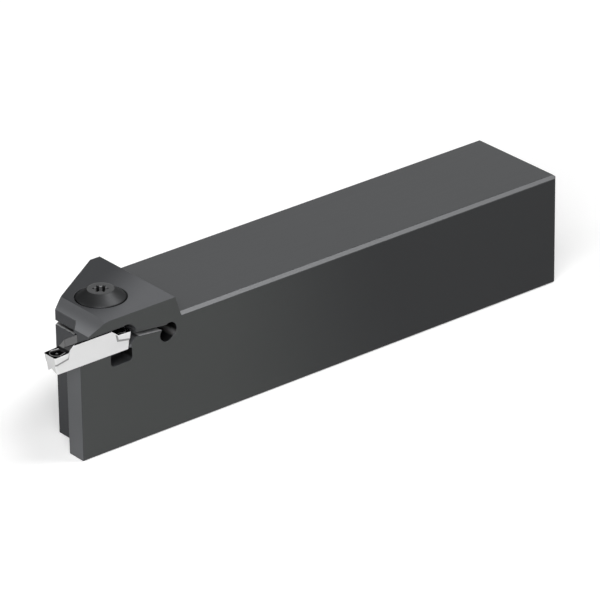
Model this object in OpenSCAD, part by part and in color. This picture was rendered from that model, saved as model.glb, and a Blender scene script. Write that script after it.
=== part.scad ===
// Parting and grooving holder for a lathe: a one-piece square-shank body with a slit
// clamping jaw, a double-ended insert and the screw that pulls the jaw down.
// X runs from the cutting edge to the rear end, Y from the insert's side to the far side.

/* [Shank] */
// Height of the square shank, which is also the height of the cutting edge
shank_h = 32; // [28:1:40]
// Width of the square shank
shank_w = 32; // [28:1:40]
// Overall length, from the cutting edge to the rear end
overall_l = 170; // [120:5:200]
// Chamfer along the two upper long edges of the shank
edge_chamfer = 0.95; // [0.4:0.05:1.5]
// Chamfer along its two lower long edges
foot_chamfer = 0.3; // [0.2:0.05:0.6]
// Chamfer round the rear end
end_chamfer = 0.8; // [0.4:0.1:1.5]

/* [Head] */
// Height of the head's top above the shank
head_rise = 4.9; // [4:0.1:6.5]
// From the blade's front to the head's rear top edge
head_l = 30.8; // [29.1:0.1:35.6]
// Run of the slope behind the head
head_back_run = 1.5; // [1:0.1:4]
// From the blade's front to the crease where the nose begins to fall
nose_start = 8.6; // [7.6:0.1:9]
// From the blade's front to the jaw's upper tip
tip_setback = 2.8; // [2.2:0.1:3.6]
// Slope of the nose in degrees
nose_slope = 24; // [18:0.5:26]
// Slope of the bevel under the tip in degrees
tip_bevel = 39; // [34:1:44]
// Thickness of the blade that carries the insert
blade_w = 5.95; // [5.4:0.05:6.5]
// Depth of the shoulder behind the blade's front
shoulder_depth = 5; // [4.2:0.1:6.1]
// Distance of the shoulder's far corner from the insert's side
shoulder_w = 17; // [15:0.1:20]
// Width of the flare that joins the blade to the shoulder
flare_w = 2.25; // [1.8:0.05:3.5]
// From the blade's front to where the slanted far side meets the shank
slant_l = 27.7; // [25.6:0.1:30.6]

/* [Insert] */
// Length of the insert over both cutting edges
insert_l = 24.2; // [23.5:0.1:25.5]
// Width of the cutting edge
edge_w = 4.8; // [4.6:0.05:5]
// Step from the side of the cutting head in to the side of the insert's body
body_inset = 0.3; // [0.2:0.02:0.4]
// Height from the insert's base to its cutting edge
edge_h = 4.9; // [4.5:0.1:5.4]
// Height of the clamped land above the cutting edge
land_rise = 1.85; // [1.5:0.05:2.1]
// Length of each rake face
rake_l = 4.2; // [3.8:0.1:4.8]
// Length of the ramp between rake and land
ramp_l = 2.1; // [1.6:0.1:2.6]
// Clearance angle of the end faces
end_relief = 9; // [5:0.5:11]
// Overhang of the cutting edge in front of the blade
overhang = 8; // [6.4:0.1:8.4]
// Depth of the two locating grooves along the insert
groove_depth = 1.1; // [0.8:0.05:1.2]
// Depth of the chip groove below the rake face
chip_depth = 0.28; // [0.1:0.02:0.4]
// Radius of the chip groove
chip_r = 5; // [3:0.5:8]
// Corner radius of the cutting edge
corner_r = 0.4; // [0.2:0.1:0.6]

/* [Seat] */
// Gap between the jaw's rib and the insert's upper groove
jaw_gap = 0.03; // [0.01:0.01:0.1]
// Gap beside the cutting head in the pocket
side_gap = 0.15; // [0.1:0.01:0.3]
// Size of the chamfer behind the insert at the visible side
rear_gap = 0.9; // [0.4:0.1:1]
// Radius of the arch that clears the rear cutting edge
arch_r = 3.1; // [2.8:0.05:3.3]
// Depth of the arch's centre below the shank's top
arch_drop = 1.05; // [0.8:0.05:1.3]
// From the rear cutting edge forward to the arch's centre
arch_back = 1.35; // [1:0.05:1.6]
// Length of the relief under the rear of the insert
relief_l = 6.8; // [6:0.1:7.4]
// How far that relief reaches behind the insert
relief_behind = 0.3; // [0.3:0.05:0.6]
// Depth of that relief below the seat
relief_h = 3.5; // [2.5:0.1:4]
// Corner radius of that relief
relief_r = 1.2; // [0.8:0.1:1.5]

/* [Slit] */
// Height of the slit between body and jaw
slit_h = 1.2; // [1:0.1:1.5]
// Fall of the slit towards the rear in degrees
slit_fall = 6; // [4:0.5:6]
// Depth of the slit's middle below the shank's top, at the shoulder
slit_drop = 0.3; // [0.3:0.05:0.8]
// From the blade's front to the centre of the round relief at the slit's end
keyhole_x = 28.8; // [27.6:0.1:30.6]
// Depth of that centre below the shank's top
keyhole_drop = 3.8; // [3:0.1:4.5]
// Radius of the round relief
keyhole_r = 2.1; // [1.6:0.1:2.4]
// Travel of the cutter down and forward from that centre
keyhole_run = 1.4; // [0.5:0.1:2]

/* [Clamp screw] */
// From the blade's front to the screw's axis
screw_x = 16.5; // [16.1:0.1:18.1]
// From the insert's side to the screw's axis
screw_y = 12.7; // [12.5:0.1:15]
// Diameter over the screw's thread
screw_d = 6; // [5:0.5:6]
// Radial running clearance of the screw in its plain-modelled threaded hole
screw_gap = 0.05; // [0.02:0.01:0.1]
// Diameter of the screw's head
head_d = 13.3; // [12.5:0.1:14.5]
// Radial gap round the head's rim
rim_gap = 0.25; // [0.15:0.05:0.4]
// Height of the head's rim, sunk in the jaw
rim_h = 0.9; // [0.6:0.1:1]
// Clearance between the head's cone and the countersink
cone_gap = 0.03; // [0.02:0.01:0.08]
// Diameter of the flat on top of the raised cone
crown_d = 7.2; // [6:0.1:8.5]
// Height of the raised cone above the jaw
crown_h = 2.3; // [1.5:0.1:2.5]
// Diameter over the lobes of the socket
socket_d = 3.95; // [3.3:0.05:4.5]
// Turn of the socket's lobes at rest in degrees
socket_turn = 20.6; // [0:0.2:59]
// Depth of the socket
socket_depth = 2.2; // [1.5:0.1:3]
// Length of the screw below the jaw's top
screw_l = 20; // [16:1:24]

/* [Hidden] */
$fn = 96;

over = 1;                                   // reach of a cut past the surface it opens
body_l = overall_l - overhang;              // blade's front to rear end
head_top = shank_h + head_rise;
tip_z = head_top - (nose_start - tip_setback) * tan(nose_slope);
shank_mid_x = (head_l + head_back_run + body_l) / 2;
origin_shift = [-shank_mid_x, -shank_w / 2, 0];

body_w = edge_w - 2 * body_inset;           // width of the insert behind its heads
groove_mid = body_w / 2;
seat_z = shank_h - edge_h;
land_z = shank_h + land_rise;
rake_rise = 0.2;                            // of the rake face, from edge to inner end
rake_z = shank_h + rake_rise;
insert_front = -overhang;
insert_rear = insert_front + insert_l;
relief_run = edge_h * tan(end_relief);
pocket_w = edge_w - body_inset + side_gap;
arch_x = insert_rear - arch_back;
arch_z = shank_h - arch_drop;
jaw_z = land_z + jaw_gap;

slit_mid_z = shank_h - slit_drop;
keyhole_z = shank_h - keyhole_drop;

screw_r = screw_d / 2;
bore_r = screw_r + screw_gap;
jaw_hole_gap = 0.3;
jaw_hole_r = screw_r + jaw_hole_gap;
slit_at_screw_z = slit_mid_z - (screw_x - shoulder_depth) * tan(slit_fall);
head_r = head_d / 2;
mouth_z = head_top - rim_h;
thread_hole_depth = screw_l + 1;            // below the jaw's top
drill_tip_h = bore_r / tan(59);

// Extrudes a side view, drawn in X and Z, from y0 to y1
module side_view(y0, y1) {
  translate([0, y1, 0]) rotate([90, 0, 0]) linear_extrude(y1 - y0) children();
}

// Extrudes a cross-section, drawn in Y and Z, from x0 to x1
module cross_section(x0, x1) {
  translate([x0, 0, 0]) rotate([90, 0, 90]) linear_extrude(x1 - x0) children();
}

// Body seen from above: blade, flare, shoulder, slanted far side and shank
module plan_outline() {
  polygon([
    [0, 0],
    [body_l - end_chamfer, 0],
    [body_l, end_chamfer],
    [body_l, shank_w - end_chamfer],
    [body_l - end_chamfer, shank_w],
    [slant_l, shank_w],
    [shoulder_depth, shoulder_w],
    [shoulder_depth, blade_w + flare_w],
    [tip_setback, blade_w],
    [0, blade_w]
  ]);
}

// Shank and blade seen from the side
module shank_outline() {
  polygon([
    [0, 0],
    [body_l - end_chamfer, 0],
    [body_l, end_chamfer],
    [body_l, shank_h - end_chamfer],
    [body_l - end_chamfer, shank_h],
    [0, shank_h]
  ]);
}

// Head seen from the side: rear slope, top, falling nose and bevelled tip. It reaches
// down into the shank, so that its slope also closes the ends of the shank's bevels.
module head_outline() {
  below = 2;
  rib_trim = 0.1;
  rib_z = jaw_z - groove_depth - rib_trim;
  polygon([
    [0, shank_h - below],
    [head_l + head_back_run * (1 + below / head_rise), shank_h - below],
    [head_l, head_top],
    [nose_start, head_top],
    [tip_setback, tip_z],
    [tip_setback - (tip_z - rib_z) / tan(tip_bevel), rib_z],
    [0, rib_z]
  ]);
}

// Long bevel of a given size along an edge; side is 1 towards +Y and -1 towards -Y
module edge_bevel(y, z, side, up, size) {
  polygon([
    [y - side * size, z + up * over],
    [y - side * size, z],
    [y, z - up * size],
    [y + side * over, z - up * size],
    [y + side * over, z + up * over]
  ]);
}

// The four long edges; the upper two start inside the head
module long_edge_bevels() {
  cross_section(head_l, body_l + over) {
    edge_bevel(0, shank_h, -1, 1, edge_chamfer);
    edge_bevel(shank_w, shank_h, 1, 1, edge_chamfer);
  }
  cross_section(-over, body_l + over) {
    edge_bevel(0, 0, -1, -1, foot_chamfer);
    edge_bevel(shank_w, 0, 1, -1, foot_chamfer);
  }
}

// Space for the insert in cross-section: a rib below and a rib above fit its grooves
module pocket_section(far_y) {
  polygon([
    [-over, seat_z],
    [0, seat_z],
    [groove_mid, seat_z + groove_depth],
    [body_w, seat_z],
    [far_y, seat_z],
    [far_y, jaw_z],
    [body_w, jaw_z],
    [groove_mid, jaw_z - groove_depth],
    [0, jaw_z],
    [-over, jaw_z]
  ]);
}

// Insert pocket, open at the front, with its stop face, arch and relief at the rear
module insert_pocket() {
  cross_section(-over, shoulder_depth) pocket_section(blade_w);
  cross_section(-over, arch_x) pocket_section(pocket_w);
  side_view(-over, pocket_w) {
    polygon([
      [arch_x - over, seat_z],
      [insert_rear - relief_run, seat_z],
      [insert_rear, shank_h],
      [arch_x - over, shank_h]
    ]);
    translate([arch_x, arch_z]) circle(arch_r);
  }
  rear_chamfer();
  side_view(-over, pocket_w)
    translate([insert_rear + relief_behind - relief_l, seat_z - relief_h]) relief_outline();
}

// Chamfer along the visible edge of the stop face, from the arch down to the relief
module rear_chamfer() {
  reach = edge_h + 0.5;
  translate([insert_rear, 0, shank_h]) rotate([0, end_relief, 0]) translate([0, 0, -reach])
    linear_extrude(reach)
      polygon([[-over, -over], [rear_gap + over, -over], [-over, rear_gap + over]]);
}

// Relief under the rear of the insert, with two rounded lower corners
module relief_outline() {
  translate([relief_r, 0]) square([relief_l - 2 * relief_r, relief_h]);
  translate([0, relief_r]) square([relief_l, relief_h - relief_r]);
  translate([relief_r, relief_r]) circle(relief_r);
  translate([relief_l - relief_r, relief_r]) circle(relief_r);
}

// Slit that frees the jaw, and the round relief that ends it
module jaw_slit() {
  side_view(-over, shank_w + over) {
    translate([shoulder_depth, slit_mid_z]) rotate(-slit_fall)
      translate([-2 * shoulder_depth, -slit_h / 2])
        square([keyhole_x + shoulder_depth, slit_h]);
    translate([keyhole_x, keyhole_z]) rotate(-142) {
      circle(keyhole_r);
      translate([0, -keyhole_r]) square([keyhole_run, 2 * keyhole_r]);
      translate([keyhole_run, 0]) circle(keyhole_r);
    }
  }
}

// Countersink and clearance hole in the jaw, and the screw's hole in the body
module screw_holes() {
  cone_h = head_r - jaw_hole_r;
  translate([screw_x, screw_y, 0]) {
    translate([0, 0, mouth_z]) cylinder(h = rim_h + over, r = head_r + rim_gap);
    translate([0, 0, mouth_z - cone_h]) cylinder(h = cone_h, r1 = jaw_hole_r, r2 = head_r);
    translate([0, 0, slit_at_screw_z])
      cylinder(h = mouth_z - cone_h / 2 - slit_at_screw_z, r = jaw_hole_r);
    translate([0, 0, head_top - thread_hole_depth]) cylinder(h = thread_hole_depth - over, r = bore_r);
    translate([0, 0, head_top - thread_hole_depth - drill_tip_h])
      cylinder(h = drill_tip_h, r1 = 0, r2 = bore_r);
  }
}

// One-piece body
module holder_body() {
  color([0.29, 0.29, 0.30])
    translate(origin_shift)
      difference() {
        intersection() {
          linear_extrude(head_top) plan_outline();
          union() {
            difference() {
              side_view(0, shank_w) shank_outline();
              long_edge_bevels();
            }
            side_view(0, shank_w) head_outline();
          }
        }
        insert_pocket();
        jaw_slit();
        screw_holes();
      }
}

// Side view of the whole insert
module insert_outline() {
  polygon([
    [insert_front, shank_h],
    [insert_front + relief_run, seat_z],
    [insert_rear - relief_run, seat_z],
    [insert_rear, shank_h],
    [insert_rear - rake_l, rake_z],
    [insert_rear - rake_l - ramp_l, land_z],
    [insert_front + rake_l + ramp_l, land_z],
    [insert_front + rake_l, rake_z]
  ]);
}

// Side view of one cutting head, wider than the body, with its edge at the left
module cutting_head_outline() {
  ramp_slope = (land_z - rake_z) / ramp_l;
  front_drop = 1.85;
  rear_drop = 1.1;
  foot_back = 0.15;
  ramp_part = 0.3;
  polygon([
    [0, 0],
    [front_drop * tan(end_relief), -front_drop],
    [rake_l - foot_back, -rear_drop],
    [rake_l + ramp_part, rake_rise + ramp_part * ramp_slope],
    [rake_l, rake_rise]
  ]);
}

// One cutting head
module cutting_head() {
  side_view(-body_inset, edge_w - body_inset) cutting_head_outline();
}

// Dished chip groove in the rake face, between two side lands
module chip_groove() {
  side_land = 0.3;
  front_land = 0.3;
  side_view(-body_inset + side_land, edge_w - body_inset - side_land)
    translate([rake_l / 2 + front_land, chip_r - chip_depth + rake_rise / 2]) circle(chip_r);
}

// The insert seen from above, with the rounded corners of its two cutting edges
module insert_plan() {
  width = edge_w - 2 * corner_r;
  translate([insert_front, -body_inset + corner_r]) square([insert_l, width]);
  translate([insert_front + corner_r, -body_inset])
    square([insert_l - 2 * corner_r, edge_w]);
  for (x = [insert_front + corner_r, insert_rear - corner_r])
    for (y = [corner_r, edge_w - corner_r])
      translate([x, y - body_inset]) circle(corner_r);
}

// Double-ended insert: body, two wider heads, two chip grooves, two locating grooves
module cutting_insert() {
  color([0.87, 0.87, 0.88])
    translate(origin_shift)
      difference() {
        intersection() {
          union() {
            side_view(0, body_w) insert_outline();
            translate([insert_front, 0, shank_h]) cutting_head();
            translate([insert_rear, 0, shank_h]) mirror([1, 0, 0]) cutting_head();
          }
          translate([0, 0, seat_z]) linear_extrude(land_z - seat_z) insert_plan();
        }
        translate([insert_front, 0, shank_h]) chip_groove();
        translate([insert_rear, 0, shank_h]) mirror([1, 0, 0]) chip_groove();
        cross_section(insert_front - over, insert_rear + over) {
          groove_section(seat_z, 1);
          groove_section(land_z, -1);
        }
      }
}

// Section of a locating groove that opens at height z; into is 1 upwards and -1 downwards
module groove_section(z, into) {
  polygon([
    [0, z],
    [groove_mid, z + into * groove_depth],
    [body_w, z],
    [body_w, z - into * over],
    [0, z - into * over]
  ]);
}

// Six-lobe socket: a round hole with six scallops left standing in it, whose size
// follows the standard six-lobe form
module socket_outline() {
  scallop_r = 0.2 * socket_d;
  core_r = 0.36 * socket_d;
  difference() {
    circle(d = socket_d);
    for (i = [0 : 5])
      rotate(60 * i + 30 + socket_turn) translate([core_r + scallop_r, 0]) circle(scallop_r);
  }
}

// Clamp screw: sunk rim and cone, raised crown with its socket, and the shank
module clamp_screw() {
  gap = cone_gap * sqrt(2);
  cone_r = head_r - gap;
  cone_h = cone_r - screw_r;
  tip_chamfer = 0.8;
  color([0.22, 0.22, 0.23])
    translate(origin_shift)
      translate([screw_x, screw_y, 0])
        difference() {
          union() {
            translate([0, 0, head_top]) cylinder(h = crown_h, r1 = head_r, r2 = crown_d / 2);
            translate([0, 0, mouth_z]) cylinder(h = rim_h, r = head_r);
            translate([0, 0, mouth_z - cone_h]) cylinder(h = cone_h, r1 = screw_r, r2 = cone_r);
            translate([0, 0, head_top - screw_l])
              cylinder(h = tip_chamfer, r1 = screw_r - tip_chamfer, r2 = screw_r);
            translate([0, 0, head_top - screw_l + tip_chamfer])
              cylinder(h = screw_l - tip_chamfer - rim_h, r = screw_r);
          }
          translate([0, 0, head_top + crown_h - socket_depth])
            linear_extrude(socket_depth + over) socket_outline();
        }
}

holder_body();
cutting_insert();
clamp_screw();
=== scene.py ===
import bmesh
import bpy
import numpy as np
from mathutils import Matrix


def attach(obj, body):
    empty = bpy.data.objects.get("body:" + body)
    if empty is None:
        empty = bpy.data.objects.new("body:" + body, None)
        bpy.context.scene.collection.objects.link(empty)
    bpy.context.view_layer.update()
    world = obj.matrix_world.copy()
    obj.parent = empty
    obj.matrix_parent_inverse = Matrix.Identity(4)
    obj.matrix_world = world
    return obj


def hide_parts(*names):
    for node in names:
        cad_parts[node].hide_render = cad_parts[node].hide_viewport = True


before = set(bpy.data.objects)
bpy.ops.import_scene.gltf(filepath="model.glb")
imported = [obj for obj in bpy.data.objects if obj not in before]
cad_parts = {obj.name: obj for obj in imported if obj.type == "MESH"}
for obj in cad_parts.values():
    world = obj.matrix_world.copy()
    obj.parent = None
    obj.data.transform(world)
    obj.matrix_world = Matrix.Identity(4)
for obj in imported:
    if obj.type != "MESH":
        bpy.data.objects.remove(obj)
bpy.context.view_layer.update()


# Holder body
# One piece of hardened tool steel, ground square along the shank, milled at the head and
# then blackened in a hot oxide bath. The insert's pocket, the slit that frees the jaw and
# the slit's round end are cut right through it, so the jaw is part of the same steel.

# Where the part's origin lies on the drawing, in millimetres: the drawing measures from the
# blade's front face, from the side that carries the insert, and from the bottom face.
drawing_origin = np.array([97.15, 16.0, 0.0])
shank_top, head_top, body_rear = 32, 36.9, 162
nose_crease = 8.6              # where the head's top turns down into the nose
slit_low, slit_high = 28, 31   # heights between which the slit's floor lies
slit_round_end = 26.5          # from here back the cut is the slit's round end
arch_start = 15                # from here back the pocket's roof is the arch
crisp_angle = 13               # degrees of turn from which an edge of the body is an edge


def merged_copy(node_name, piece_name):
    """A copy of a CAD node's mesh: corners within a thousandth of a millimetre become one,
    and triangles that turn by less than 0.01 radians become one flat face again."""
    shape = bmesh.new()
    shape.from_mesh(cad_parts[node_name].data)
    bmesh.ops.remove_doubles(shape, verts=shape.verts, dist=1e-6)
    bmesh.ops.dissolve_limit(shape, angle_limit=0.01, verts=shape.verts, edges=shape.edges)
    mesh = bpy.data.meshes.new(piece_name)
    shape.to_mesh(mesh)
    shape.free()
    if "custom_normal" in mesh.attributes:
        mesh.attributes.remove(mesh.attributes["custom_normal"])
    mesh.materials.clear()
    return mesh


def show(mesh, body_name, node_name):
    """Puts a finished mesh into the scene as the piece that stands for a CAD node."""
    piece = bpy.data.objects.new(mesh.name, mesh)
    bpy.context.collection.objects.link(piece)
    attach(piece, body_name)
    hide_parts(node_name)
    return piece


def smooth_below(mesh, angle):
    """Smooth shading over every edge that turns by less than the angle, in degrees."""
    mesh.shade_smooth()
    mesh.set_sharp_from_angle(angle=np.radians(angle))


def break_edges(piece, name, width, segments, **settings):
    """Rounds a piece's edges by a live bevel of the given width in metres."""
    bevel = piece.modifiers.new(name, "BEVEL")
    bevel.width, bevel.segments, bevel.use_clamp_overlap = width, segments, False
    for setting, value in settings.items():
        setattr(bevel, setting, value)


def add_node(tree, kind, inputs=None, **settings):
    """Adds a shader node. Settings are its properties; each of the inputs is a plain value
    or the socket that feeds it."""
    node = tree.nodes.new(kind)
    for name, value in settings.items():
        setattr(node, name, value)
    for name, source in (inputs or {}).items():
        if isinstance(source, bpy.types.NodeSocket):
            tree.links.new(source, node.inputs[name])
        else:
            node.inputs[name].default_value = source
    return node


def place_on(tree):
    """A point's own place, in Object coordinates."""
    return add_node(tree, "ShaderNodeTexCoord").outputs["Object"]


def along_axis(tree, axis):
    """A point's place along X, Y or Z."""
    return add_node(tree, "ShaderNodeSeparateXYZ", {0: place_on(tree)}).outputs[axis]


def reckon(tree, operation, *values):
    """One sum of a Math node; each value is a number or a socket."""
    return add_node(
        tree, "ShaderNodeMath", dict(enumerate(values)), operation=operation
    ).outputs[0]


def noise(tree, place, scale, detail, roughness):
    """Noise from 0 to 1 with so many features a metre at the given place."""
    return add_node(
        tree, "ShaderNodeTexNoise",
        {"Vector": place, "Scale": scale, "Detail": detail, "Roughness": roughness},
    ).outputs["Fac"]


def pass_over(tree, value, start, end, first=0.0, last=1.0, easing="SMOOTHSTEP"):
    """Goes from the first to the last number as the value goes from start to end."""
    return add_node(
        tree, "ShaderNodeMapRange",
        {"Value": value, "From Min": start, "From Max": end, "To Min": first, "To Max": last},
        interpolation_type=easing,
    ).outputs["Result"]


def blend(tree, factor, colour, other_colour):
    """The colour where the factor is 0, the other one where it is 1; the Mix node's two
    colour inputs are 6 and 7, and its colour output is 2."""
    return add_node(
        tree, "ShaderNodeMix", {"Factor": factor, 6: colour, 7: other_colour}, data_type="RGBA"
    ).outputs[2]


def new_group(name, inputs, outputs):
    """An empty shader node group with named inputs (kind and usual value) and outputs."""
    group = bpy.data.node_groups.new(name, "ShaderNodeTree")
    for label, (kind, value) in inputs.items():
        socket = group.interface.new_socket(label, in_out="INPUT", socket_type=kind)
        socket.default_value = value
    for label, kind in outputs.items():
        group.interface.new_socket(label, in_out="OUTPUT", socket_type=kind)
    given = add_node(group, "NodeGroupInput").outputs
    result = add_node(group, "NodeGroupOutput").inputs
    return group, given, result


# Grain left by grinding or milling, over slow clouds in the oxide: two noises in Object
# coordinates, one of them stretched along the cut, shift the tone and the roughness, and the
# stretched one is the height. Over some faces the tone also changes slowly, as painted light
# and shade: along the drift way it goes from the tone to the far tone. A finish without a drift
# of its own has the usual one, which starts ten metres off and so never shows.
grain, given, result = new_group(
    "machined_grain",
    {
        "Tone": ("NodeSocketColor", (0.1, 0.1, 0.1, 1)),
        "Grain Size": ("NodeSocketVector", (0.01, 0.0002, 0.0002)),
        "Grain Depth": ("NodeSocketFloat", 0.06),
        "Cloud Size": ("NodeSocketFloat", 0.02),
        "Cloud Depth": ("NodeSocketFloat", 0.05),
        "Roughness": ("NodeSocketFloat", 0.45),
        "Roughness Depth": ("NodeSocketFloat", 0.1),
        "Drift Way": ("NodeSocketVector", (1, 0, 0)),
        "Drift Start": ("NodeSocketFloat", 10.0),
        "Drift End": ("NodeSocketFloat", 11.0),
        "Far Tone": ("NodeSocketColor", (0.1, 0.1, 0.1, 1)),
    },
    {"Colour": "NodeSocketColor", "Roughness": "NodeSocketFloat", "Height": "NodeSocketFloat"},
)
place = place_on(grain)
stretched = add_node(
    grain, "ShaderNodeVectorMath", {0: place, 1: given["Grain Size"]}, operation="DIVIDE"
).outputs[0]
lines = noise(grain, stretched, scale=1.0, detail=3.0, roughness=0.6)
clouds_a_metre = reckon(grain, "DIVIDE", 1.0, given["Cloud Size"])
cloud = noise(grain, place, scale=clouds_a_metre, detail=2.0, roughness=0.5)
line_shift = reckon(grain, "SUBTRACT", lines, 0.5)
cloud_shift = reckon(grain, "SUBTRACT", cloud, 0.5)
line_tone = reckon(grain, "MULTIPLY_ADD", line_shift, given["Grain Depth"], 1.0)
grain_tone = reckon(grain, "MULTIPLY_ADD", cloud_shift, given["Cloud Depth"], line_tone)
way_along = add_node(
    grain, "ShaderNodeVectorMath", {0: place, 1: given["Drift Way"]}, operation="DOT_PRODUCT"
).outputs["Value"]
drift = pass_over(grain, way_along, given["Drift Start"], given["Drift End"])
drifted = blend(grain, drift, given["Tone"], given["Far Tone"])
colour = add_node(grain, "ShaderNodeHueSaturation", {"Value": grain_tone, "Color": drifted})
rough = reckon(
    grain, "MULTIPLY_ADD", line_shift, given["Roughness Depth"], given["Roughness"])
grain.links.new(colour.outputs["Color"], result["Colour"])
grain.links.new(rough, result["Roughness"])
grain.links.new(lines, result["Height"])


def metal(name, metallic, bump_depth, specular=0.5, rim_tint=1.0, **grain_values):
    """A metal finish: the grain group with this finish's own values feeds colour, roughness
    and a shallow bump of the given depth in metres. A low rim tint keeps steep glances dark."""
    material = bpy.data.materials.new(name)
    material.use_nodes = True
    tree = material.node_tree
    shader = tree.nodes["Principled BSDF"].inputs
    shader["Metallic"].default_value = metallic
    shader["Specular IOR Level"].default_value = specular
    shader["Specular Tint"].default_value = (rim_tint, rim_tint, rim_tint, 1)
    finish = tree.nodes.new("ShaderNodeGroup")
    finish.node_tree = grain
    for label, value in grain_values.items():
        finish.inputs[label.replace("_", " ").title()].default_value = value
    relief = add_node(
        tree, "ShaderNodeBump",
        {"Strength": 1.0, "Distance": bump_depth, "Height": finish.outputs["Height"]})
    tree.links.new(finish.outputs["Colour"], shader["Base Color"])
    tree.links.new(finish.outputs["Roughness"], shader["Roughness"])
    tree.links.new(relief.outputs["Normal"], shader["Normal"])
    return material


def overlay(material, factor, colour):
    """Lays a second colour over a finish wherever the factor is 1."""
    tree = material.node_tree
    base_colour = tree.nodes["Principled BSDF"].inputs["Base Color"]
    below = base_colour.links[0].from_socket
    tree.links.new(blend(tree, factor, below, colour), base_colour)


# The marks that the work leaves in the steel: long lines along the ground shank, short
# round ones on the milled head, and fine even ones on the walls of the cuts.
ground_marks = dict(
    grain_size=(0.009, 0.00022, 0.00022), grain_depth=0.10,
    cloud_size=0.03, cloud_depth=0.10, roughness=0.42, roughness_depth=0.10)
milled_marks = dict(
    grain_size=(0.0006, 0.0004, 0.0004), grain_depth=0.12,
    cloud_size=0.02, cloud_depth=0.10, roughness=0.44, roughness_depth=0.10)
cut_marks = dict(
    grain_size=(0.0002, 0.0002, 0.0002), grain_depth=0.25,
    cloud_size=0.006, cloud_depth=0.2, roughness=0.42, roughness_depth=0.10)

body_ground = metal(
    "body_ground_oxide", metallic=0.42, bump_depth=2e-6, specular=0.3,
    tone=(0.0349, 0.0367, 0.0390, 1), **ground_marks)
# Painted shade: the sides' tone drifts darker towards the rear.
body_side = metal(
    "body_side_oxide", metallic=0.42, bump_depth=2e-6, specular=0.3,
    tone=(0.0426, 0.0453, 0.0444, 1), far_tone=(0.0189, 0.0198, 0.0211, 1),
    drift_way=(0.961, 0, 0.276), drift_start=-0.0505, drift_end=0.0138, **ground_marks)
# Painted light: the chamfers are ground like the shank but take a tone near three times as
# light.
body_chamfer = metal(
    "body_chamfer_oxide", metallic=0.5, bump_depth=2e-6,
    tone=(0.0975, 0.0992, 0.1025, 1), **ground_marks)
# Painted shade: the head's top drifts darker towards its far front corner.
body_milled = metal(
    "body_milled_oxide", metallic=0.4, bump_depth=2e-6, specular=0.0,
    tone=(0.1048, 0.1070, 0.1125, 1), far_tone=(0.0386, 0.0399, 0.0427, 1),
    drift_way=(-0.495, 0.869, 0), drift_start=0.0265, drift_end=0.0427, **milled_marks)
# Painted light: the blade's front face grows lighter towards the bottom.
body_front = metal(
    "body_front_oxide", metallic=0.4, bump_depth=2e-6, specular=0.0,
    tone=(0.0975, 0.1005, 0.1045, 1), far_tone=(0.1180, 0.1210, 0.1260, 1),
    drift_way=(0, 0, -1), drift_start=-0.014, drift_end=0.0, **milled_marks)
# Painted highlight: the nose grows lighter towards its lower front edge.
body_nose = metal(
    "body_nose_oxide", metallic=0.4, bump_depth=2e-6, specular=0.0,
    tone=(0.0857, 0.0877, 0.0918, 1), far_tone=(0.1470, 0.1505, 0.1575, 1),
    drift_way=(-1, 0, 0), drift_start=0.0899, drift_end=0.0941, **milled_marks)
# Painted shade: the recess, the shoulder and the pocket walls that face ahead take a tone five
# times darker than the milled head.
body_recess_shade = metal(
    "body_recess_painted_shade", metallic=0.42, bump_depth=2e-6, specular=0.3,
    tone=(0.0185, 0.0197, 0.0225, 1), **milled_marks)
body_cut = metal(
    "body_cut_walls", metallic=1.0, bump_depth=4e-6, rim_tint=0.1,
    tone=(0.078, 0.079, 0.081, 1), **cut_marks)
body_keyhole = metal(
    "body_keyhole_walls", metallic=1.0, bump_depth=4e-6, rim_tint=0.1,
    tone=(0.055, 0.056, 0.058, 1), **cut_marks)
body_ledge = metal(
    "body_cut_floors", metallic=0.2, bump_depth=4e-6,
    tone=(0.42, 0.425, 0.43, 1), **cut_marks)
body_foot = metal(
    "body_foot_chamfer", metallic=0.0, bump_depth=1e-6, specular=0.0,
    tone=(0.055, 0.056, 0.058, 1), **(ground_marks | {"roughness": 0.6}))
body_edge = metal(
    "body_edge_worn", metallic=0.4, bump_depth=1e-6, specular=0.1, rim_tint=0.3,
    tone=(0.057, 0.0585, 0.061, 1), grain_size=(0.0012, 0.0004, 0.0004), grain_depth=0.3,
    cloud_size=0.004, cloud_depth=0.2, roughness=0.40, roughness_depth=0.10)
body_finishes = (
    body_ground, body_side, body_chamfer, body_milled, body_front, body_nose, body_recess_shade,
    body_cut, body_keyhole, body_ledge, body_foot, body_edge)
(GROUND, SIDE, CHAMFER, MILLED, FRONT, NOSE, RECESS,
    CUT, KEYHOLE, LEDGE, FOOT, EDGE) = range(len(body_finishes))

# Painted highlight: the wall of the slit's round end shines in a band along the hole.
highlight_height, highlight_half = 0.0269, 0.0009
tree = body_keyhole.node_tree
off_highlight = reckon(
    tree, "ABSOLUTE", reckon(tree, "SUBTRACT", along_axis(tree, "Z"), highlight_height))
highlight_band = pass_over(tree, off_highlight, 0.0, highlight_half, first=1.0, last=0.0)
overlay(body_keyhole, highlight_band, (0.85, 0.85, 0.86, 1))

# The slit's floor has a bright tone, partly the bare cut steel and partly painted light where
# light reaches it at its front and towards its round end. Between them, beside the insert's
# pocket, a dark tone lies over it as painted shadow of the jaw.
jaw_shadow_from, jaw_shadow_to = (-0.0917, -0.0912), (-0.0785, -0.0779)
tree = body_ledge.node_tree
along = along_axis(tree, "X")
behind_front = pass_over(tree, along, *jaw_shadow_from)
beside_pocket = pass_over(tree, along, *jaw_shadow_to, first=1.0, last=0.0)
overlay(
    body_ledge, reckon(tree, "MULTIPLY", behind_front, beside_pocket), (0.03, 0.03, 0.031, 1))

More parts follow.
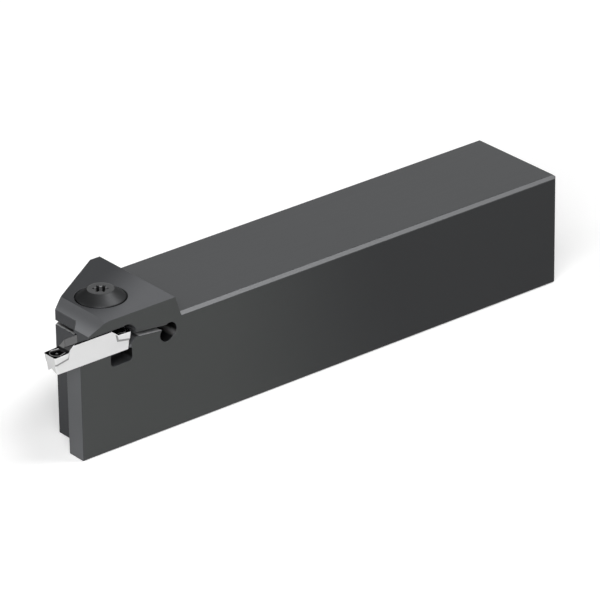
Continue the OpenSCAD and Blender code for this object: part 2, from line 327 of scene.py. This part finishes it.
# The outer faces: a point on each in drawing millimetres, the direction it faces, and its
# finish. A face of the mesh that lies on none of them is a wall of a pocket, slit or hole.
outer_faces = np.array([
    (0, 0, 0, 0, -1, 0, SIDE), (0, 32, 0, 0, 1, 0, SIDE),
    (0, 0, 0, 0, 0, -1, GROUND), (0, 0, shank_top, 0, 0, 1, GROUND),
    (body_rear, 0, 0, 1, 0, 0, GROUND), (0, 0, 0, -1, 0, 0, FRONT),
    (0, 0.95, shank_top, 0, -1, 1, CHAMFER), (0, 31.05, shank_top, 0, 1, 1, CHAMFER),
    (0, 0.3, 0, 0, -1, -1, FOOT), (0, 31.7, 0, 0, 1, -1, FOOT),
    (body_rear, 0.8, 0, 1, -1, 0, CHAMFER), (body_rear, 31.2, 0, 1, 1, 0, CHAMFER),
    (body_rear, 0, 0.8, 1, 0, -1, CHAMFER), (body_rear, 0, 31.2, 1, 0, 1, CHAMFER),
    (0, 0, head_top, 0, 0, 1, MILLED), (30.8, 0, head_top, 4.9, 0, 1.5, MILLED),
    (nose_crease, 0, head_top, -0.4067, 0, 0.9135, NOSE),
    (2.8, 0, 34.3177, -0.6293, 0, 0.7771, GROUND),
    (0, 5.95, 0, 0, 1, 0, RECESS), (2.8, 5.95, 0, -2.25, 2.2, 0, RECESS),
    (5, 0, 0, -1, 0, 0, RECESS), (5, 17, 0, -15, 22.7, 0, RECESS),
])
plane_gap, least_alike = 0.02, 0.999   # millimetres off a plane, cosine between directions
level, leaning, sideways = 0.9, 0.3, 0.5   # least share of a face's direction along an axis


def finish_of_faces(mesh):
    """For each face of the body the finish of the outer face on whose plane its middle
    lies, facing the same way. Where there is none the face was cut, and its place and the
    way it faces tell which cut: the first of the list that fits."""
    middles, ways = np.empty(len(mesh.polygons) * 3), np.empty(len(mesh.polygons) * 3)
    mesh.polygons.foreach_get("center", middles)
    mesh.polygons.foreach_get("normal", ways)
    middles = middles.reshape(-1, 1, 3) * 1000 + drawing_origin
    ways = ways.reshape(-1, 3)
    points, facing = outer_faces[:, :3], outer_faces[:, 3:6]
    facing = facing / np.linalg.norm(facing, axis=1, keepdims=True)
    off_plane = np.abs(((middles - points) * facing).sum(axis=2))
    on_it = (off_plane < plane_gap) & (ways @ facing.T > least_alike)
    x, z = middles[:, 0, 0], middles[:, 0, 2]
    before_round_end = x < slit_round_end
    faces_up = before_round_end & (ways[:, 2] > leaning)
    faces_ahead = before_round_end & (ways[:, 0] < -leaning) & (z > slit_high)
    cut = np.select(
        [
            before_round_end & (ways[:, 2] > level) & (z > slit_low),
            # walls that face ahead behind the arch's start take the lighter front finish:
            # painted light in their shade
            faces_ahead & (x > arch_start),
            faces_ahead,
            faces_up & (z < slit_low),
            (ways[:, 1] < -sideways) | (faces_up & (z > slit_low) & (z < slit_high)),
            x > slit_round_end,
        ],
        [LEDGE, FRONT, RECESS, GROUND, MILLED, KEYHOLE],
        CUT,
    )
    finish = np.where(on_it.any(axis=1), outer_faces[on_it.argmax(axis=1), 6], cut)
    return finish.astype(np.int32)


def weight_of_crease(mesh):
    """1 for the edge where the head's top turns down into the nose, 0 for all others: both
    of its ends lie at that place on the drawing and at the top's height."""
    ends, points = np.empty(len(mesh.edges) * 2, int), np.empty(len(mesh.vertices) * 3)
    mesh.edges.foreach_get("vertices", ends)
    mesh.vertices.foreach_get("co", points)
    at = points.reshape(-1, 3)[ends.reshape(-1, 2)] * 1000 + drawing_origin
    off_crease = np.abs(at[:, :, [0, 2]] - (nose_crease, head_top)).max(axis=(1, 2))
    return (off_crease < plane_gap / 2).astype(np.float32)


body_mesh = merged_copy("holder_body", "dressed_holder_body")
for finish in body_finishes:
    body_mesh.materials.append(finish)
body_mesh.polygons.foreach_set("material_index", finish_of_faces(body_mesh))
smooth_below(body_mesh, crisp_angle)
body_piece = show(body_mesh, "holder", "holder_body")
crease_weight = body_mesh.attributes.new("bevel_weight_edge", "FLOAT", "EDGE")
crease_weight.data.foreach_set("value", weight_of_crease(body_mesh))
break_edges(body_piece, "soft_crease", width=0.0009, segments=5, limit_method="WEIGHT")
break_edges(
    body_piece, "broken_edges", width=0.00012, segments=2, limit_method="ANGLE",
    angle_limit=np.radians(crisp_angle), material=EDGE, harden_normals=True)


# Cutting insert
# A double-ended parting insert of sintered carbide: two ground cutting heads on a narrower
# body, V grooves along its bottom and top that sit on the holder's ribs, and a black coating
# that is left on the rake faces and taken off the silver flanks.

insert_front, cutting_edge_z = -8.0, 32.0   # drawing place of the front cutting edge
insert_length = 24.2
insert_middle_y = 2.1
head_half, waist_half = 2.4, 2.1            # half widths at the heads and at the body
head_end, body_start = 4.5, 4.95            # behind the cutting edge
corner_radius = 0.4
edge_hone = 0.06
base_drop = 4.9                             # cutting edge to base
base_chamfer = 0.05
rake_length, rake_rise = 4.2, 0.2
ramp_end, land_rise = 6.3, 1.85
groove_depth = 1.1
end_relief, relief_reach = np.tan(np.radians(9)), 6.0
shadow_band_depth = 0.3                           # painted shadow: the black top runs down over the land's edge under the jaw

# The chip former on the rake: a horseshoe ridge, its two arms, and a dome in the hollow.
ridge_start, ridge_bend, ridge_half, ridge_width = 0.50, 1.25, 1.95, 0.17
arm_start, arm_end, arm_width = 1.6, 4.05, 0.15
closing, closing_start, closing_run = 0.55, 1.75, 2.3
dome_middle, dome_length, dome_breadth = 2.3, 0.45, 0.55
ridge_height, hollow_depth, dome_height = 0.10, 0.30, 0.14


def from_drawing(points):
    """Turns drawing millimetres into the part's metres: the point less the origin's place
    on the drawing, divided by a thousand."""
    return (np.asarray(points, float) - drawing_origin) / 1000.0


def opening(gap, width):
    """0 where there is no gap, 1 where it is as wide as the width, and straight between."""
    return np.clip(gap / width, 0, 1)


def bell(off, width):
    """A bell curve: e to the minus square of the distance as a share of the width."""
    return np.exp(-((off / width) ** 2))


def insert_top(s):
    """Height above the cutting edge at the distance s behind it: a rake that rises a
    little, a straight ramp, and the level land; the first hundredths are honed round."""
    height = np.interp(s, [0, rake_length, ramp_end], [0, rake_rise, land_rise])
    return height - edge_hone * np.clip(1 - s / edge_hone, 0, 1) ** 2


def chip_former(s, v):
    """Relief on the rake at s behind the edge and v from the middle, and where its crests
    are. A hollow lies inside a horseshoe ridge: its front bends back as the square of v,
    its arms close in towards the ramp, and both are bell curves of the distance from them.
    A low dome stands in the middle of the hollow."""
    arm = np.abs(v)
    bow = ridge_start + ridge_bend * (arm / ridge_half) ** 2
    front = bell(s - bow, ridge_width) * opening(ridge_half + 0.1 - arm, 0.12)
    inward = ridge_half - closing * opening(s - closing_start, closing_run)
    along_arm = opening(s - arm_start, 0.2) * opening(arm_end - s, 0.3)
    crest = np.maximum(front, bell(arm - inward, arm_width) * along_arm)
    inside = opening(s - bow, 0.5) * opening(inward - arm, 0.4) * opening(rake_length - s, 0.3)
    dome = bell(s - dome_middle, dome_length) * bell(v, dome_breadth) * inside
    relief = ridge_height * crest - hollow_depth * inside + dome_height * dome
    return relief, np.clip(crest + 0.5 * dome, 0, 1)


def half_stations():
    """Distances behind a cutting edge at which the insert is cut into rings: close
    together over the corner, the chip former and the ramp, wide apart on the land."""
    return np.concatenate([
        [0, 0.02, 0.06, 0.12, 0.2, 0.3],
        np.linspace(corner_radius, head_end, 52),
        np.linspace(head_end, body_start, 6)[1:],
        np.linspace(body_start, ramp_end, 14)[1:],
        np.linspace(ramp_end, insert_length / 2, 5)[1:],
    ])


across = np.linspace(-1, 1, 65)             # over the top, as a share of the half width
distance = half_stations()
distance = np.concatenate([distance, distance[-2::-1]])
rows = len(distance)
from_rear = np.arange(rows) > rows // 2

# The step between head and body: both of its edges climb from the front and then follow
# the end of the head up to the ramp. Behind it they are out of the way, 9 mm up, and the
# top's own edge is the limit.
top = insert_top(distance)
step_top = np.minimum(
    np.interp(distance, [0, 4.05, head_end, head_end + 0.001], [-1.85, -1.10, 0.436, 9]),
    top - shadow_band_depth)
step_foot = np.minimum(
    np.interp(distance, [0, 4.35, body_start, body_start + 0.001], [-2.50, -1.75, 0.79, 9]),
    step_top - 0.002)
flank = np.interp(distance, [0, head_end, body_start], [head_half, head_half, waist_half])
into_corner = np.clip(corner_radius - distance, 0, None)
rounding = corner_radius - np.sqrt(corner_radius ** 2 - into_corner ** 2)
flank, waist = flank - rounding, waist_half - rounding


def column(y, z):
    """One lengthwise line of the insert's skin: its place on each ring."""
    return np.broadcast_to(y, rows)[:, None], np.broadcast_to(z, rows)[:, None]


# One ring after another: up the near side, over the top, down the far side, and back under
# the base with its V groove. The near side is -Y. The step's slope bulges a little past its
# middle, and the hone turns the upper corner in two bends.
hone_middle = 0.3 * edge_hone
near_side = [
    column(-waist, -base_drop + base_chamfer),
    column(-waist, (step_foot - base_drop) / 2),
    column(-waist, step_foot),
    column(-(flank * 0.55 + waist * 0.45), step_foot * 0.55 + step_top * 0.45),
    column(-flank, step_top),
    column(-flank, (step_top + top - edge_hone) / 2),
    column(-flank, top - edge_hone),
    column(-flank + hone_middle, top - hone_middle),
]
foot_column, lip_column = 2, 4              # the step's two edges among them
top_y = across[None, :] * (flank - edge_hone)[:, None]
vee = land_rise - groove_depth * np.clip(1 - np.abs(top_y) / waist_half, 0, 1)
behind, clear_of_vee = distance[:, None], vee > top[:, None]
relief_height, crest = chip_former(behind, top_y)
on_rake = behind < rake_length
top_z = np.minimum(top[:, None], vee) + np.where(on_rake, relief_height, 0)
# Behind the rake the ramp shows grey, the far slope of the V groove shows grey as painted
# light, and the near slope stays black. The values count as heights of a crest, whose grey is
# a painted highlight.
near_ramp_grey, far_slope_lit, far_ramp_more = 0.29, 0.274, 0.10
far_lit = far_slope_lit + far_ramp_more * opening(top_y, 0.4) * clear_of_vee
grey_behind_rake = np.where(top_y > 0, far_lit, near_ramp_grey * clear_of_vee)
crest = np.where(on_rake, crest, grey_behind_rake * opening(behind - rake_length, 0.5))
base = [
    column(waist * share, -base_drop + groove_depth * (1 - abs(share)))
    for share in (0.97, 0.5, 0.0, -0.5, -0.97)]
far_side = [(-y, z) for y, z in near_side[::-1]]
skin = near_side + [(top_y, top_z)] + far_side + base
ring_y = np.hstack([y for y, z in skin])
ring_z = np.hstack([z for y, z in skin])
lean = end_relief * np.clip(-ring_z, 0, None) * np.clip(1 - behind / relief_reach, 0, 1)
ring_x = behind + lean
ring_x = np.where(from_rear[:, None], insert_length - ring_x, ring_x)
insert_points = from_drawing(np.stack(
    [ring_x + insert_front, ring_y + insert_middle_y, ring_z + cutting_edge_z], axis=-1))


def ring_faces(rings, around):
    """Quads of a grid that closes on itself: each joins two neighbours on a ring to the
    same two on the next ring, in the order that turns its face outwards."""
    here = np.arange(rings * around).reshape(rings, around)
    beside = np.roll(here, -1, axis=1)
    return np.stack([here[1:], beside[1:], beside[:-1], here[:-1]], axis=-1).reshape(-1, 4)


def end_caps(rings, around):
    """The faces that close the first and the last ring."""
    ring = np.arange(around)
    return [ring.tolist(), (ring[::-1] + (rings - 1) * around).tolist()]


around = ring_y.shape[1]
insert_mesh = bpy.data.meshes.new("dressed_cutting_insert")
insert_mesh.from_pydata(
    insert_points.reshape(-1, 3), [],
    ring_faces(rows, around).tolist() + end_caps(rows, around))

flank_marks = dict(
    grain_depth=0.05, cloud_size=0.002, cloud_depth=0.03, roughness=0.45, roughness_depth=0.15)
coating_marks = dict(
    grain_size=(0.0001, 0.0001, 0.0001), grain_depth=0.3,
    cloud_size=0.001, cloud_depth=0.3, roughness_depth=0.1)
insert_silver = metal(
    "insert_silver_flank", metallic=0.0, bump_depth=1e-6,
    tone=(0.665, 0.665, 0.665, 1), grain_size=(0.002, 0.0001, 0.0001), **flank_marks)
insert_black = metal(
    "insert_black_rake", metallic=1.0, bump_depth=2e-6, rim_tint=0.1,
    tone=(0.012, 0.012, 0.0125, 1), roughness=0.35, **coating_marks)
# Painted shade: the step is the same ground carbide as the flanks, made darker grey.
insert_step_shade = metal(
    "insert_step_painted_shade", metallic=0.0, bump_depth=1e-6,
    tone=(0.24, 0.24, 0.24, 1), grain_size=(0.002, 0.0001, 0.0001), **flank_marks)
insert_front_face = metal(
    "insert_front_face", metallic=0.0, bump_depth=1e-6,
    tone=(0.52, 0.52, 0.52, 1), grain_size=(0.0001, 0.0001, 0.002), **flank_marks)
# Painted shade: the near slope of the V groove is near black.
insert_groove_shade = metal(
    "insert_groove_painted_shade", metallic=0.0, bump_depth=1e-6, specular=0.0,
    tone=(0.008, 0.008, 0.0085, 1), roughness=0.7, **coating_marks)
for finish in (insert_silver, insert_black, insert_step_shade, insert_front_face, insert_groove_shade):
    insert_mesh.materials.append(finish)
SILVER, BLACK, STEP_SHADE, END_FACE, GROOVE_SHADE = range(5)

# Where each finish lies: black on the top, and as painted shadow of the jaw on the flank's
# band under the land's edge; darker grey on the step and near black on the near slope of the
# V groove, both painted shade; and silver everywhere else.
first_top = len(near_side)
first_far = first_top + len(across)


def mirrored(near_column):
    """The column of the far side that faces one of the near side."""
    return first_far + len(near_side) - 1 - near_column


ring = np.arange(around)[None, :]
on_land = distance[:-1, None] >= ramp_end
on_top = (ring >= first_top - 1) & (ring < first_far)
on_shadow_band = (ring >= lip_column) & (ring < first_top - 1) & on_land
on_step = ((ring >= foot_column) & (ring < lip_column)) | (
    (ring >= mirrored(lip_column)) & (ring < mirrored(foot_column)))
insert_finish = np.where(on_top | on_shadow_band, BLACK, np.where(on_step & ~on_land, STEP_SHADE, SILVER))
near_slope = (vee < top[:, None]) & (top_y < 0) & (behind > rake_length)
slope_in_shade = near_slope[:-1, :-1] & near_slope[1:, :-1]
insert_finish[:, first_top:first_far - 1][slope_in_shade] = GROOVE_SHADE
insert_mesh.polygons.foreach_set("material_index", np.concatenate(
    [insert_finish.ravel(), [END_FACE, END_FACE]]).astype(np.int32))
crest_at_point = np.zeros((rows, around), np.float32)
crest_at_point[:, first_top:first_far] = crest
insert_mesh.attributes.new("rib_crest", "FLOAT", "POINT").data.foreach_set(
    "value", crest_at_point.ravel())
smooth_below(insert_mesh, angle=35)

# The step between head and body stays crisp: its two edges run along the rings.
step_columns = [foot_column, lip_column, mirrored(lip_column), mirrored(foot_column)]
ends = np.empty(len(insert_mesh.edges) * 2, int)
insert_mesh.edges.foreach_get("vertices", ends)
end_columns = ends.reshape(-1, 2) % around
along_step = (end_columns[:, 0] == end_columns[:, 1]) & np.isin(end_columns[:, 0], step_columns)
sharp_edges = insert_mesh.attributes["sharp_edge"].data
sharp = np.empty(len(insert_mesh.edges), bool)
sharp_edges.foreach_get("value", sharp)
sharp_edges.foreach_set("value", sharp | along_step)

# Along the crests of the chip former the black shows grey: a painted highlight.
tree = insert_black.node_tree
crest_height = add_node(tree, "ShaderNodeAttribute", attribute_name="rib_crest").outputs["Fac"]
overlay(insert_black, pass_over(tree, crest_height, 0.2, 0.5), (0.20, 0.20, 0.20, 1))
show(insert_mesh, "holder", "cutting_insert")


# Clamp screw
# A blackened alloy-steel screw, turned from bar: its sunk cone draws the jaw down on the
# insert, and a raised crown holds the six-lobe socket. The thread is rolled on the shank
# that stands in the body below the slit.

screw_axis = np.array([16.5, 12.7, head_top])   # drawing place of the axis at the jaw's top
head_radius, sunk_radius, shank_radius = 6.58, 6.54, 3.0   # at the rim, under it, below
crown_radius, crown_height = 3.6, 2.3
rim_depth, screw_length = 0.9, 20.0
thread_pitch, thread_depth = 1.0, 0.55
thread_start, thread_end = -6.3, -19.2
flank_steepness, level_root = 1.35, 0.1
run_in, run_out = 0.8, 0.6

# The socket: the circles that its lobes and the scallops between them are parts of, how far
# from a lobe's middle they meet and the lobe's shade ends, and its mouth over its width.
socket_depth, socket_turn = 2.2, np.radians(20.6)
lobe_pitch = np.pi / 3
lobe_centre, lobe_radius = 1.665, 0.305
scallop_centre, scallop_radius = 2.276, 0.866
lobe_end, shade_end = np.radians(9.59), np.radians(15)
socket_mouth = 1.11

turn = np.linspace(0, 2 * np.pi, 144, endpoint=False)


def off_lobe(angle):
    """How far an angle is from the middle of the nearest lobe: the angle less the socket's
    turn, brought to within half a pitch either way."""
    half_pitch = lobe_pitch / 2
    return np.abs((angle - socket_turn + half_pitch) % lobe_pitch - half_pitch)


def circle_edge(centre, radius, angle, side):
    """Distance from the axis to a circle's far edge (side 1) or near edge (side -1) in a
    direction at an angle to its centre's: the centre times the cosine, plus or minus the
    root of the radius squared less the square of the centre times the sine."""
    rest = np.clip(radius ** 2 - (centre * np.sin(angle)) ** 2, 0, None)
    return centre * np.cos(angle) + side * np.sqrt(rest)


def six_lobes(angle):
    """Radius of the socket at an angle: inside each lobe it is the far side of a small
    circle on the lobe's axis, between lobes it is the near side of a large circle, and the
    two circles touch where they meet."""
    off = off_lobe(angle)
    lobe = circle_edge(lobe_centre, lobe_radius, off, 1)
    scallop = circle_edge(scallop_centre, scallop_radius, lobe_pitch / 2 - off, -1)
    return np.where(off < lobe_end, lobe, scallop)


def thread_radius(angle, z):
    """Radius over the thread: a triangle wave of height and turn, one pitch a turn, made
    steeper and cut off level at root and crest, that fades in over the run-in below the neck
    and out over the run-out towards the tip."""
    phase = (z / thread_pitch - angle / (2 * np.pi)) % 1
    wave = np.clip(np.abs(2 * phase - 1) * flank_steepness - level_root, 0, 1)
    fade = opening(thread_start - z, run_in) * opening(z - thread_end, run_out)
    return shank_radius - thread_depth * wave * fade


# The screw from the socket's middle up its wall, over the crown's disc, down the cones and
# the thread to the tip: rows of a radius for each angle, and a height over the jaw's top.
lobes = six_lobes(turn)
socket_floor = crown_height - socket_depth
disc_edge = crown_radius - 0.12
socket_rows = [(share * lobes, z) for share, z in (
    (0.02, socket_floor + 0.02), (0.5, socket_floor + 0.06), (0.93, socket_floor + 0.10),
    (1.0, socket_floor + 0.18), (1.0, crown_height - 1.1), (1.0, crown_height - 0.22),
    (1.05, crown_height - 0.12), (socket_mouth, crown_height))]
disc_rows = [
    (socket_mouth * lobes * (1 - share) + disc_edge * share, crown_height)
    for share in (0.15, 0.4, 0.7, 1.0)]
turned_rows = [(radius + 0 * turn, z) for radius, z in (
    (crown_radius - 0.04, crown_height - 0.015), (crown_radius + 0.03, crown_height - 0.06),
    (crown_radius + 0.12, crown_height - 0.13), (4.6, 1.50), (5.6, 0.78), (6.38, 0.23),
    (6.51, 0.10), (head_radius, -0.03), (head_radius, -0.45),
    (head_radius, -rim_depth + 0.03), (sunk_radius, -rim_depth), (5.4, -2.1076),
    (4.2, -3.3076), (3.05, -4.4576), (shank_radius, -4.55), (shank_radius, -5.4),
    (shank_radius, thread_start + 0.1))]
thread_rows = [
    (thread_radius(turn, z), z) for z in np.linspace(thread_start, thread_end, 156)]
tip_rows = [
    (shank_radius - drop + 0 * turn, thread_end - drop) for drop in (0.28, 0.56, 0.8)]
tip_rows += [(1.2 + 0 * turn, -screw_length), (0.02 + 0 * turn, -screw_length)]
screw_rows = socket_rows + disc_rows + turned_rows + thread_rows + tip_rows
radii = np.array([radius for radius, z in screw_rows])
heights = np.array([z for radius, z in screw_rows])[:, None] + 0 * radii
screw_points = from_drawing(screw_axis + np.stack(
    [radii * np.cos(turn), radii * np.sin(turn), heights], axis=-1))
screw_mesh = bpy.data.meshes.new("dressed_clamp_screw")
screw_mesh.from_pydata(
    screw_points.reshape(-1, 3), [],
    ring_faces(len(screw_rows), len(turn)).tolist() + end_caps(len(screw_rows), len(turn)))

turned_marks = dict(
    grain_size=(0.0004, 0.0004, 0.0004), grain_depth=0.10,
    cloud_size=0.004, cloud_depth=0.15, roughness_depth=0.08)
# Painted light and shade: the screw's tone drifts from dark at its front far side to lighter at
# its rear near side.
screw_oxide = metal(
    "screw_black_oxide", metallic=0.85, bump_depth=1e-6, specular=0.0, rim_tint=0.5,
    tone=(0.0180, 0.0185, 0.0190, 1), far_tone=(0.0330, 0.0335, 0.0345, 1),
    drift_way=(0.773, -0.634, 0), drift_start=-0.0640, drift_end=-0.0585,
    roughness=0.44, **turned_marks)
screw_disc = metal(
    "screw_disc_oxide", metallic=0.4, bump_depth=1e-6, specular=0.1,
    tone=(0.046, 0.047, 0.0485, 1), roughness=0.36, **turned_marks)
screw_walls = metal(
    "screw_socket_walls", metallic=0.2, bump_depth=1e-6, specular=0.2,
    tone=(0.12, 0.12, 0.123, 1), roughness=0.40, **turned_marks)
for finish in (screw_oxide, screw_disc, screw_walls):
    screw_mesh.materials.append(finish)
OXIDE, DISC, WALLS = range(3)

# The lobes' own walls lie in their own shade and are dark; the scallops between them shine.
wall = np.where(off_lobe(turn) < shade_end, OXIDE, WALLS)[None, :]
row = np.arange(len(screw_rows) - 1)[:, None]
in_socket = row < len(socket_rows) - 1
on_disc = row < len(socket_rows) + len(disc_rows)
screw_finish = np.where(in_socket, wall, np.where(on_disc, DISC, OXIDE))
screw_mesh.polygons.foreach_set("material_index", np.concatenate(
    [screw_finish.ravel(), [WALLS, OXIDE]]).astype(np.int32))
smooth_below(screw_mesh, angle=30)
show(screw_mesh, "screw", "clamp_screw")


# Table, light and camera
# The holder lies on a plain white table under two large soft lamps and a small one near the
# head, as for a catalogue picture, and the camera looks along its length from above the head.

reach, drop = 3.0, 0.0001      # metres from the middle, and below the holder
floor_mesh = bpy.data.meshes.new("table_top")
floor_mesh.from_pydata(
    [(x * reach, y * reach, -drop) for x, y in ((-1, -1), (1, -1), (1, 1), (-1, 1))],
    [], [(0, 1, 2, 3)])
floor = bpy.data.objects.new("table_top", floor_mesh)
bpy.context.collection.objects.link(floor)


def seen_directly(tree):
    """1 for the rays that the camera sends out, also by a mirror or through glass, and 0
    for the light that falls on the object."""
    path = add_node(tree, "ShaderNodeLightPath").outputs
    seen = reckon(tree, "MAXIMUM", path["Is Camera Ray"], path["Is Glossy Ray"])
    return reckon(tree, "MAXIMUM", seen, path["Is Transmission Ray"])


# The table glows a little where it is seen, more away from the object, so that it fades
# into the white backdrop and keeps the object's soft shadow. In metres from the middle: the
# shadow's reach, where the shadow has faded, and where the table is as white as the backdrop.
shadow_reach, faded, white = 0.12, 0.35, 1.5
table_finish = bpy.data.materials.new("table_white")
table_finish.use_nodes = True
tree = table_finish.node_tree
shader = tree.nodes["Principled BSDF"].inputs
shader["Base Color"].default_value = (0.86, 0.86, 0.86, 1)
shader["Roughness"].default_value = 0.9
shader["Specular IOR Level"].default_value = 0.0
away = add_node(tree, "ShaderNodeVectorMath", {0: place_on(tree)}, operation="LENGTH")
near_glow = pass_over(
    tree, away.outputs["Value"], shadow_reach, faded, first=0.29, last=0.6, easing="LINEAR")
far_glow = pass_over(
    tree, away.outputs["Value"], faded, white, first=0.0, last=0.4, easing="LINEAR")
glow = reckon(tree, "ADD", near_glow, far_glow)
shader["Emission Color"].default_value = (1, 1, 1, 1)
tree.links.new(
    reckon(tree, "MULTIPLY", seen_directly(tree), glow), shader["Emission Strength"])
floor_mesh.materials.append(table_finish)

world = bpy.data.worlds.new("studio")
bpy.context.scene.world = world
world.use_nodes = True
backdrop = world.node_tree.nodes["Background"].inputs
backdrop["Color"].default_value = (1, 1, 1, 1)
world.node_tree.links.new(seen_directly(world.node_tree), backdrop["Strength"])


def stand(name, thing, side, upward, back, spot):
    """Puts a lamp or camera at a spot: its three axes and the spot are the columns of its
    matrix, and it looks away from its back."""
    standing = bpy.data.objects.new(name, thing)
    bpy.context.collection.objects.link(standing)
    columns = np.column_stack([side, upward, back, spot])
    standing.matrix_world = Matrix(columns.tolist() + [[0, 0, 0, 1]])
    return standing


def soft_lamp(name, towards, distance_m, size_m, strength):
    """A square area lamp that looks at the head and shank from the given direction. Its
    energy is four pi times the strength and the distance squared, so that the strength is
    the light that it gives a surface that faces it."""
    lamp = bpy.data.lights.new(name, "AREA")
    lamp.shape = "SQUARE"
    lamp.size = size_m
    lamp.energy = strength * np.pi * distance_m ** 2 * 4
    back = np.array(towards, float) / np.linalg.norm(towards)
    side = np.cross([0, 0, 1.0], back)
    side /= np.linalg.norm(side)
    stand(name, lamp, side, np.cross(back, side), back, back * distance_m)


soft_lamp("lamp_key", (0.39, -0.23, 0.89), distance_m=1.2, size_m=0.6, strength=0.50)
soft_lamp("lamp_left", (-0.75, 0.5, 0.4), distance_m=1.2, size_m=0.7, strength=0.25)
soft_lamp("lamp_near", (-0.30, -0.25, 0.30), distance_m=0.492, size_m=0.25, strength=0.49)

# The camera's axes and place come from straight edges of the photograph: the shank's three
# directions give the angles, and its length against its height gives the distance.
right = np.array([0.77303, -0.63426, -0.01177])
upward = np.array([0.28606, 0.33197, 0.89887])
ahead = np.array([0.56621, 0.69822, -0.43806])
eye = np.array([-0.7579, -0.9192, 0.5897])
camera_data = bpy.data.cameras.new("camera")
camera_data.lens = 297.2
camera_data.sensor_width = 36.0
bpy.context.scene.camera = stand("camera", camera_data, right, upward, -ahead, eye)
bpy.context.scene.view_settings.view_transform = "Standard"
